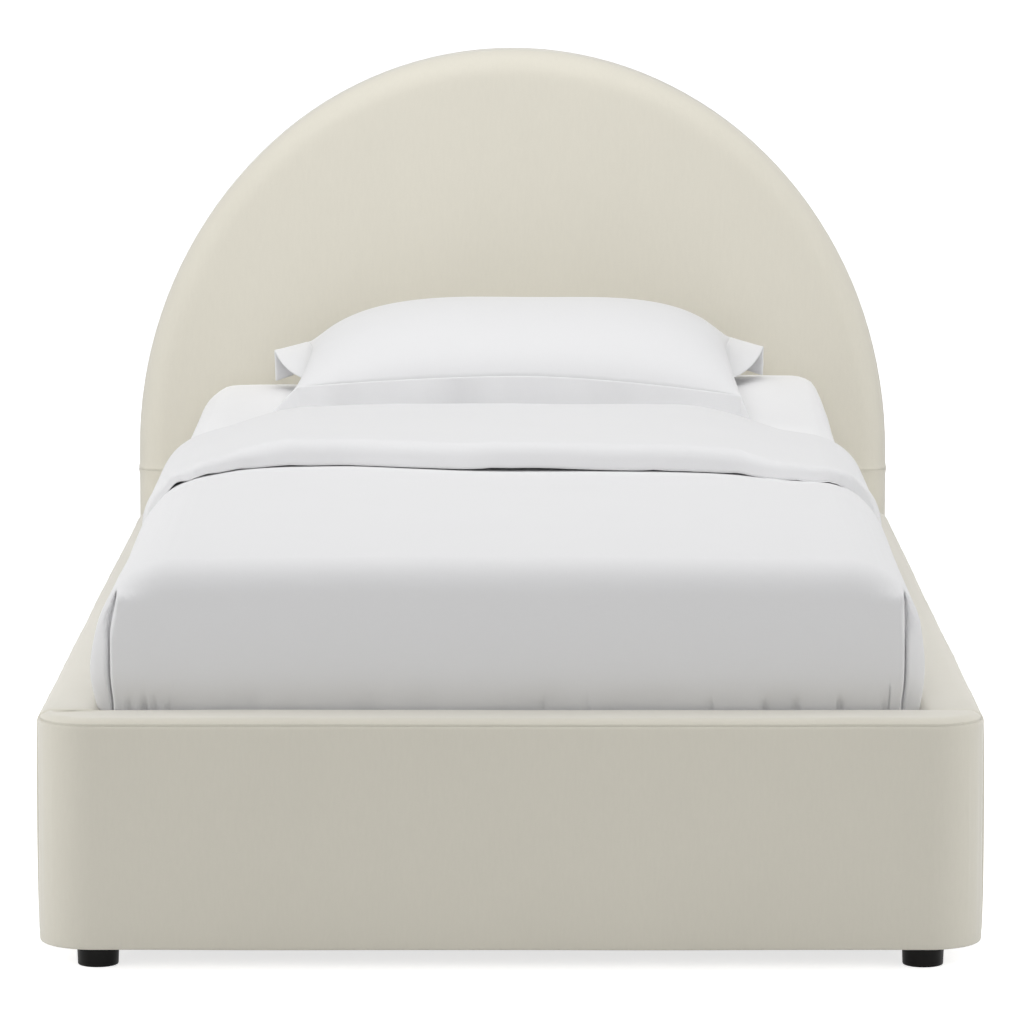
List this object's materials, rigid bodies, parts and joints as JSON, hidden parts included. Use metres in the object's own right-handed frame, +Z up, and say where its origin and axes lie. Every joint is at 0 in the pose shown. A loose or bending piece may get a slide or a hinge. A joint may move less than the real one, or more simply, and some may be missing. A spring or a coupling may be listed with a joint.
{
  "type": "platform bed",
  "caption": "Upholstered platform bed with an arched headboard, rounded footboard corners, slatted deck and round feet, dressed with mattress, duvet and flanged pillow.",
  "frame": {"origin": "on the floor under the middle of the bed's length and width", "axes": "+Z up, +Y towards the headboard along the bed, +X to the right seen from the foot end"},
  "size_m": [1.16, 2.097, 1.0259],
  "materials": {
    "velvet": "matte short-pile velvet, pale warm grey-beige",
    "foam": "open-cell upholstery foam and fibre, pale yellow",
    "dust_cloth": "black non-woven dust cloth",
    "softwood": "planed pine, unfinished",
    "slat_wood": "planed poplar slat, unfinished",
    "webbing": "black woven polypropylene webbing",
    "plywood": "birch plywood, raw",
    "black_steel": "black powder coat",
    "zinc_steel": "zinc-plated steel",
    "foot_plastic": "black moulded plastic, satin",
    "glide_plastic": "black nylon",
    "ticking": "white knitted mattress ticking",
    "white_cotton": "white woven cotton, matte"
  },
  "bodies": {
    "frame": {"beam_cups": "black_steel", "center_beam": "softwood", "center_leg_front": "softwood", "center_leg_rear": "softwood", "corner_bolts": "zinc_steel", "corner_brackets": "black_steel", "foot_front_left": "foot_plastic", "foot_front_right": "foot_plastic", "foot_rear_left": "foot_plastic", "foot_rear_right": "foot_plastic", "foot_studs": "zinc_steel", "footboard_face_cover": "velvet", "footboard_foam": "foam", "footboard_frame": "softwood", "footboard_inner_board": "plywood", "footboard_outer_board": "plywood", "footboard_top_cover": "velvet", "headboard_apron": "plywood", "headboard_back_cloth": "dust_cloth", "headboard_face_board": "plywood", "headboard_foam": "foam", "headboard_lower_cover": "velvet", "headboard_timber_frame": "softwood", "headboard_upper_cover": "velvet", "leg_glides": "glide_plastic", "side_rail_face_cover_left": "velvet", "side_rail_face_cover_right": "velvet", "side_rail_foam_left": "foam", "side_rail_foam_right": "foam", "side_rail_frame_left": "softwood", "side_rail_frame_right": "softwood", "side_rail_inner_board_left": "plywood", "side_rail_inner_board_right": "plywood", "side_rail_outer_board_left": "plywood", "side_rail_outer_board_right": "plywood", "side_rail_top_cover_left": "velvet", "side_rail_top_cover_right": "velvet", "slat_01": "slat_wood", "slat_02": "slat_wood", "slat_03": "slat_wood", "slat_04": "slat_wood", "slat_05": "slat_wood", "slat_06": "slat_wood", "slat_07": "slat_wood", "slat_08": "slat_wood", "slat_09": "slat_wood", "slat_10": "slat_wood", "slat_11": "slat_wood", "slat_12": "slat_wood", "slat_ledger_left": "softwood", "slat_ledger_right": "softwood", "slat_straps": "webbing", "threaded_inserts": "zinc_steel", "wood_screws": "zinc_steel"},
    "mattress": {"mattress_core": "foam", "mattress_cover": "ticking", "fitted_sheet": "white_cotton"},
    "duvet": {"duvet": "white_cotton"},
    "pillow": {"pillow_sham": "white_cotton", "pillow_insert": "foam"}
  },
  "joints": [
    {"name": "mattress_lift", "type": "slide", "parent": "frame", "child": "mattress", "axis": [0, 0, 1], "range_m": [0, 0.35]},
    {"name": "duvet_lift", "type": "slide", "parent": "mattress", "child": "duvet", "axis": [0, -0.0157, 0.9999], "range_m": [0, 0.3]},
    {"name": "pillow_lift", "type": "slide", "parent": "mattress", "child": "pillow", "axis": [0, 0, 1], "range_m": [0, 0.3]}
  ]
}
